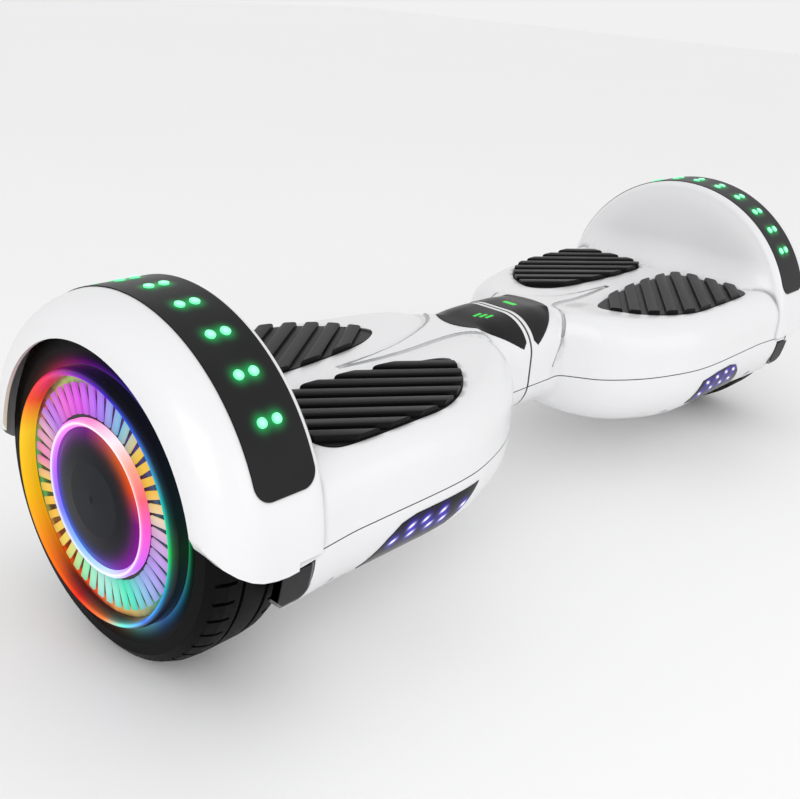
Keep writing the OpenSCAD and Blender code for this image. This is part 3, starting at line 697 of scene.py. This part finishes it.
def coverProfile(s):
    # (x, r) of the wheel cover's outer skin
    # the inner wall is finely stepped so the fillet stays smooth
    points = [(s["well"] - s["wall"], r) for r in [4.0] + list(range(10, 76, 3))]
    points += [(s["well"] - 2.5, 78), (s["well"] - 2.3, 81), (s["well"] - 1.9, 84), (s["well"] - 1.2, 87.5)]
    for i in range(7):
        a = math.radians(i * 15)
        points.append((s["well"] + 4.5 - 5.2 * math.cos(a), s["coverRadius"] - 5.2 + 5.2 * math.sin(a)))
    flat = s["half"] - s["shoulder"]
    for i in range(1, 5):
        points.append((s["well"] + 4.5 + (flat - s["well"] - 4.5) * i / 5, s["coverRadius"]))
    for i in range(13):
        a = math.radians(i * 7.5)
        rise = (s["coverRadius"] - s["lip"]) * math.cos(a)
        points.append((flat + s["shoulder"] * math.sin(a), s["lip"] + rise))
    return points + [(s["half"], 40), (s["half"], 4.0)]


def spunBody(name, points, steps, axle, flare=None):
    bm = bmesh.new()
    verts = [bm.verts.new((x, 0, axle + r)) for x, r in points]
    edges = [bm.edges.new(pair) for pair in zip(verts, verts[1:])]
    bmesh.ops.spin(bm, geom=verts + edges, cent=(0, 0, axle), axis=(1, 0, 0), angle=math.radians(360),
                   steps=steps, use_merge=True)
    bmesh.ops.remove_doubles(bm, verts=bm.verts, dist=0.001)
    bmesh.ops.holes_fill(bm, edges=[e for e in bm.edges if e.is_boundary], sides=0)
    if flare:
        for v in bm.verts:
            flare(v)
    bmesh.ops.recalc_face_normals(bm, faces=bm.faces)
    return linked(name, bm)


def flareCover(v):
    # the inner wall runs out into the foot area with a fillet
    s = shell
    if v.co.x < s["well"] + 0.5:
        up = (v.co.z - s["deck"]) / s["fillet"]
        pull = 0.0
        if up < 1:
            t = 1 - max(up, 0)
            pull = s["fillet"] * (1 - math.sqrt(max(0, 1 - t * t)))
        inward = max(0, min(1, (s["well"] + 0.5 - v.co.x) / 3.0))
        fade = max(0, min(1, (s["filletEnd"] - abs(v.co.y)) / s["filletFade"]))
        v.co.x -= pull * inward * fade * fade * (3 - 2 * fade)


def prism(name, outline, low, high, axis="Z"):
    # outline pulled along an axis, "Z" from above or "Y" from the front
    bm = bmesh.new()
    verts = [bm.verts.new((a, b, low) if axis == "Z" else (a, low, b)) for a, b in outline]
    face = bm.faces.new(verts)
    pulled = bmesh.ops.extrude_face_region(bm, geom=[face])["geom"]
    move = (0, 0, high - low) if axis == "Z" else (0, high - low, 0)
    bmesh.ops.translate(bm, verts=[g for g in pulled if isinstance(g, bmesh.types.BMVert)], vec=move)
    bmesh.ops.recalc_face_normals(bm, faces=bm.faces)
    return linked(name, bm)


def rod(name, radius, start, end, segments=40):
    start, end = Vector(start), Vector(end)
    bm = bmesh.new()
    bmesh.ops.create_cone(
        bm, cap_ends=True, segments=segments, radius1=radius, radius2=radius, depth=(end - start).length)
    turn = (end - start).to_track_quat("Z", "Y").to_matrix()
    bmesh.ops.rotate(bm, verts=bm.verts, cent=(0, 0, 0), matrix=turn)
    bmesh.ops.translate(bm, verts=bm.verts, vec=(start + end) / 2)
    return linked(name, bm)


def block(name, low, high):
    bm = bmesh.new()
    bmesh.ops.create_cube(bm, size=1)
    low, high = Vector(low), Vector(high)
    bmesh.ops.scale(bm, verts=bm.verts, vec=high - low)
    bmesh.ops.translate(bm, verts=bm.verts, vec=(low + high) / 2)
    return linked(name, bm)


def bothSides(cutter):
    # the cutter and its mirror across Y
    bm = bmesh.new()
    bm.from_mesh(cutter.data)
    other = bmesh.ops.duplicate(bm, geom=bm.verts[:] + bm.edges[:] + bm.faces[:])["geom"]
    bmesh.ops.scale(bm, verts=[g for g in other if isinstance(g, bmesh.types.BMVert)], vec=(1, -1, 1))
    bmesh.ops.reverse_faces(bm, faces=[g for g in other if isinstance(g, bmesh.types.BMFace)])
    bm.to_mesh(cutter.data)
    bm.free()
    return cutter


def carve(body, tools, kind="DIFFERENCE"):
    # works each tool into the body and keeps the result as plain mesh
    for tool in tools:
        work = body.modifiers.new(tool.name, "BOOLEAN")
        work.operation, work.solver, work.object = kind, "MANIFOLD", tool
    graph = bpy.context.evaluated_depsgraph_get()
    graph.update()
    mesh = bpy.data.meshes.new_from_object(body.evaluated_get(graph))
    body.modifiers.clear()
    old = body.data
    body.data = mesh
    bpy.data.meshes.remove(old)
    for tool in tools:
        bpy.data.objects.remove(tool)
    return body


def settle(name, body, finish, sx=1, sy=1):
    # a finished piece: metres, mirrored where sx or sy is -1, doubles merged, smooth with crisp edges
    bm = bmesh.new()
    bm.from_mesh(body.data)
    bmesh.ops.scale(bm, verts=bm.verts, vec=(sx * mm, sy * mm, mm))
    if sx * sy < 0:
        bmesh.ops.reverse_faces(bm, faces=bm.faces)
    bmesh.ops.remove_doubles(bm, verts=bm.verts, dist=0.000002)
    piece = linked(name, bm, 30)
    piece.data.materials.append(finish)
    return piece


fine = (40, 16, 6, 18, 14)
coarse = (4, 8, 2, 8, 3)
padPlan = [(79.5, 31), (80.5, 34.5), (84, 40), (88.5, 46.5), (95.5, 54.3), (109, 64.3), (123.5, 71),
           (138, 74.2), (160, 74.8), (185, 75), (203, 74.3), (209.5, 72), (212.8, 67), (213.5, 60),
           (213.5, 45), (213.5, 30), (212.4, 22.5), (209, 16.5), (203, 13.2), (195, 12), (180, 11.6),
           (165, 11.8), (150, 12.7), (135, 14.2), (120, 16.1), (107, 18.2), (97, 20.3), (88.5, 23.2),
           (82, 27)]
padOutline = smoothPath(padPlan + padPlan[:1], 3)[:-1]
lampEnd = [(168, 70.5), (178, 68.5), (186, 62), (192, 54), (197, 46), (180, 46), (150, 46.5)]
lampPlans = {"right": [(131.5, 66.5), (150, 69.5)] + lampEnd + [(127, 48)],
             "left": [(116, 70.5)] + lampEnd + [(135, 50), (125, 59)]}
caseScrews = [(219, 79, 56), (112, 70, 57), (66, 36, 57)]
frameScrews = [(88, 20), (214, 20)]


def grownPlan(plan, grow):
    # the outline moved outwards by grow
    out = []
    n = len(plan)
    area = sum(plan[i][0] * plan[(i + 1) % n][1] - plan[(i + 1) % n][0] * plan[i][1] for i in range(n))
    turn = 1 if area > 0 else -1
    for i in range(n):
        a, b, c = (Vector(plan[(i + k) % n]) for k in (-1, 0, 1))
        e, f = (b - a).normalized(), (c - b).normalized()
        normal = (Vector((e.y, -e.x)) + Vector((f.y, -f.x))).normalized() * turn
        out.append(tuple(b + normal * grow / max(0.5, normal.dot(Vector((e.y, -e.x)) * turn))))
    return out


def windowPlan(grow):
    points = [(4.2 - grow, -31.0), (4.2 - grow, 31.0)]
    for i in range(1, 36):
        a = math.radians(90 - 5 * i)
        x, y = (42 + grow) * math.cos(a), (32.5 + grow) * math.sin(a)
        if x > 4.6:
            points.append((x, y))
    return points


def stripCutter(grow, low, high):
    s = shell
    inner, outer = 237 - grow, 270 + grow
    section = [(inner, low), (outer, low), (outer, high), (inner, high), (inner, low)]
    ring = spunBody("stripRing", section, 180, s["axle"])
    outline = [(inner, 300), (outer, 300)]
    base = s["axle"] + 27 - grow
    for cx, sign, span in ((262, 1, range(0, 91, 10)), (245, -1, range(90, -1, -10))):
        for a in (math.radians(degrees) for degrees in span):
            outline.append((cx + sign * (8 + grow) * math.cos(a), base + 8 - 8 * math.sin(a)))
    return carve(ring, [prism("stripPlate", outline, -150, 150, "Y")], "INTERSECT")


def makeTopShell():
    s = shell
    body = loftedBody("upper", 0, 0.9, s["end"], s["stationStep"], fine, creased=True)
    cover = spunBody("cover", coverProfile(s), s["turns"], s["axle"], flareCover)
    carve(body, [cover], "UNION")
    inside = loftedBody("inside", -s["wall"], 0.85, s["well"] - 3, 6, coarse)
    r, half, low = s["coverInside"], s["half"], s["coverLow"]
    section = [(s["well"], 4), (s["well"], r - 3), (s["well"] + 3, r), (half - 23, r), (half - 14, r - 2),
               (half - 7.5, r - 6), (half - 3, r - 11), (half - 2, 75.2), (half + 3, 75.2), (half + 3, 4)]
    well = spunBody("well", section, 120, s["axle"])
    # the cover's low edge, curling up towards the outside
    edge = [(249, 0), (255, -0.4), (262, 0.4), (269, 2.2), (275, 4.8), (281, 8.6), (286, 13),
            (290, 18.5), (293, 26), (297, 34), (301, 38)]
    outline = [(s["end"], -60)] + [(x, low + rise) for x, rise in edge] + [(301, -60)]
    trim = prism("trim", outline, -200, 200, "Y")
    seam = block("seamCut", (-5, -160, -80), (s["end"] + 0.01, 160, s["seam"] + s["gap"]))
    pads = bothSides(prism("padCut", grownPlan(padOutline, 0.35), 107.3, 140))
    floor = loftedBody("windowFloor", -1.15, 0.5, 60, 2.5, fine, creased=True)
    window = carve(prism("windowCut", windowPlan(0.15), 90, 160), [floor])
    axle = rod("axleCut", 10, (s["well"] - 20, 0, s["axle"]), (s["well"] + 4, 0, s["axle"]))
    strip = stripCutter(0.2, s["coverRadius"] - 1.8, s["coverRadius"] + 8)
    carve(body, [inside, well, trim, seam, pads, window, axle, strip])
    look = creaseLook
    line = [(x - 1, q) for x, q in creaseLine[:13]]
    return carve(body, [groove("crease", line, way, look["groove"], look["sink"]) for way in (1, -1)])


def lowerHoles():
    tools = []
    for x, y, z in caseScrews:
        tools.append(bothSides(rod("screwWell", 4.4, (x, y, 10), (x, y, z))))
    for x, y in frameScrews:
        tools.append(bothSides(rod("frameWell", 4.2, (x, y, 10), (x, y, 44))))
    return tools


# charging socket and power button in the rear wall, speaker in the floor
rearLook = {"portX": 150.0, "buttonX": 186.0, "high": 63.5, "floor": 83.4,
            "portRadius": 8.7, "rimRadius": 10.9, "buttonRadius": 6.4, "hinge": (6.5, 49.9, 56.0),
            "speakerX": 212.0, "speakerRing": 8.0, "soundHole": 1.6}


def rearHoles(look):
    port, button, z, y = look["portX"], look["buttonX"], look["high"], look["floor"]
    half, low, high = look["hinge"]
    holes = [rod("portWell", look["portRadius"], (port, 60, z), (port, 130, z)),
             rod("portRim", look["rimRadius"], (port, y, z), (port, 130, z)),
             block("portHinge", (port - half, y, low), (port + half, 120, high)),
             rod("buttonWell", look["buttonRadius"], (button, 60, z), (button, 130, z))]
    for k in range(6):
        a = math.radians(60 * k)
        x, y = look["speakerX"] + look["speakerRing"] * math.cos(a), look["speakerRing"] * math.sin(a)
        holes.append(rod("soundHole", look["soundHole"], (x, y, 20), (x, y, 40), 16))
    return holes


notchLook = {"inside": 238.0, "outside": 257.0, "low": 53.0, "high": 72.6, "round": 7.0}


def notchPlan(look, shrink, outside):
    a, low, high, r = look["inside"] + shrink, look["low"] + shrink, look["high"], look["round"] - shrink
    outline = [(outside, high), (outside, low + 3), (outside - 3, low)]
    for i in range(7):
        t = math.radians(15 * i)
        outline.append((a + r - r * math.sin(t), low + r - r * math.cos(t)))
    return outline + [(a, high)]


def makeBottomShell():
    s = shell
    body = loftedBody("lower", 0, 0.9, s["end"], s["stationStep"], fine, creased=True)
    inside = loftedBody("inside", -s["wall"], 0.85, s["well"] - 3, 6, coarse)
    posts = []
    for x, y, z in caseScrews:
        posts.append(bothSides(rod("post", 6, (x, y, 10), (x, y, s["seam"] - s["gap"]))))
    for x, y in frameScrews:
        posts.append(bothSides(rod("post", 5, (x, y, 10), (x, y, 60))))
    carve(inside, posts)
    seam = block("seamCut", (-5, -160, s["seam"] - s["gap"]), (300, 160, 200))
    well = rod("wellCut", 87.2, (s["well"] - 0.4, 0, s["axle"]), (s["well"] + 60, 0, s["axle"]), 120)
    axle = rod("axleCut", 10, (s["well"] - 20, 0, s["axle"]), (s["well"] + 4, 0, s["axle"]))
    notch = bothSides(prism("notchCut", notchPlan(dict(notchLook, high=74), 0, 262), 70, 110, "Y"))
    below = bothSides(block("belowCut", (notchLook["inside"] + 7, 60, 30), (262, 110, notchLook["low"] + 1)))
    return carve(body, [inside, seam, well, axle, notch, below] + lowerHoles())


top = makeTopShell()
print("upper shell", len(top.data.polygons))
bottom = makeBottomShell()
print("lower shell", len(bottom.data.polygons))
for side, sx in (("right", 1), ("left", -1)):
    upper = settle(side + "TopShell", top, finishes["shell"], sx)
    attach(upper, side + "_half")
    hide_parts(side + "_top_shell")
    base = bottom.copy()
    base.data = bottom.data.copy()
    bpy.context.collection.objects.link(base)
    lampHole = prism("lampCut", grownPlan(lampPlans[side], 0.15), -130, -40, "Y")
    carve(base, [carve(lampHole, [loftedBody("lampFloor", -1.35, 100, 215, 4, fine)])])
    if side == "right":
        carve(base, rearHoles(rearLook))
    lower = settle(side + "BottomShell", base, finishes["shell"], sx)
    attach(lower, side + "_half")
    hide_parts(side + "_bottom_shell")
    bpy.data.objects.remove(base)
bpy.data.objects.remove(top)
bpy.data.objects.remove(bottom)

padLook = {"first": 80.5, "pitch": 12.6, "count": 8, "turn": -34.6, "low": 109.6, "skin": 112.5, "top": 115.3}


def makePad(look):
    # ribs with rounded tops on a thin base, all trimmed to one outline
    base = prism("padBase", padOutline, look["low"], look["skin"])
    ribs = None
    skin, top = look["skin"] - 0.6, look["top"]
    for i in range(look["count"]):
        c = -(look["first"] + i * look["pitch"])
        rise = [(4.3, skin), (3.9, top - 0.9), (3.3, top - 0.25), (2.3, top)]
        outline = [(c - w, z) for w, z in rise] + [(c + w, z) for w, z in reversed(rise)]
        rib = prism("rib", outline, -30, 250, "Y")
        turn = Matrix.Rotation(math.radians(look["turn"] - 90), 3, "Z")
        for v in rib.data.vertices:
            v.co = turn @ v.co
        ribs = rib if ribs is None else carve(ribs, [rib], "UNION")
    trim = prism("padTrim", grownPlan(padOutline, -0.5), look["low"] + 0.5, 130)
    carve(ribs, [trim], "INTERSECT")
    return carve(base, [ribs], "UNION")


def makeInsert(look):
    # a grey rim with a darker face, curved round the tyre; the grey rim is painted shade standing in for the
    # white shell's edge in shadow
    pieces = []
    for shrink, skin in ((0.3, 92.6), (2.0, 93.2)):
        section = [(235, 88.2), (260, 88.2), (260, skin), (235, skin), (235, 88.2)]
        ring = spunBody("insertRing", section, 180, shell["axle"])
        plate = prism("insert", notchPlan(look, shrink, look["outside"]), 60, 110, "Y")
        pieces.append(bothSides(carve(plate, [ring], "INTERSECT")))
    return pieces


insertPieces = makeInsert(notchLook)
for side, sx in (("right", 1), ("left", -1)):
    for name, piece, finish in zip(("InsertRim", "InsertFace"), insertPieces, ("greyRim", "insert")):
        made = settle(side + name, piece, finishes[finish], sx)
        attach(made, side + "_half")
for piece in insertPieces:
    bpy.data.objects.remove(piece)

pad = makePad(padLook)
for side, sx in (("left", -1), ("right", 1)):
    for end, sy in (("front", -1), ("rear", 1)):
        made = settle(side + end.capitalize() + "Pad", pad, finishes["rubber"], sx, sy)
        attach(made, side + "_" + end + "_pad")
        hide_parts(side + "_" + end + "_pad")
bpy.data.objects.remove(pad)
print("pads ready")

windowTop = loftedBody("windowTop", 0.3, 0.5, 60, 2.0, fine, creased=True)
window = carve(prism("windowPlug", windowPlan(0), 90, 160), [windowTop], "INTERSECT")
window = carve(window, [loftedBody("windowFloor", -1.1, 0.4, 61, 2.5, fine, creased=True)])
for side, sx in (("right", 1), ("left", -1)):
    lampTop = loftedBody("lampTop", 0.3, 100, 215, 3, fine)
    lamp = carve(prism("lampPlug", lampPlans[side], -130, -40, "Y"), [lampTop], "INTERSECT")
    lamp = carve(lamp, [loftedBody("lampFloor", -1.3, 99, 216, 4, fine)])
    for name, piece, node, finish in (("Window", window, "_window", finishes["window" + side]),
                                      ("HeadLamp", lamp, "_headlight", finishes["headlight" + side])):
        made = settle(side + name, piece, finish, sx)
        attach(made, side + "_half")
        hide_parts(side + node)
        slots[side + node]
    bpy.data.objects.remove(lamp)
bpy.data.objects.remove(window)
print("shells ready")
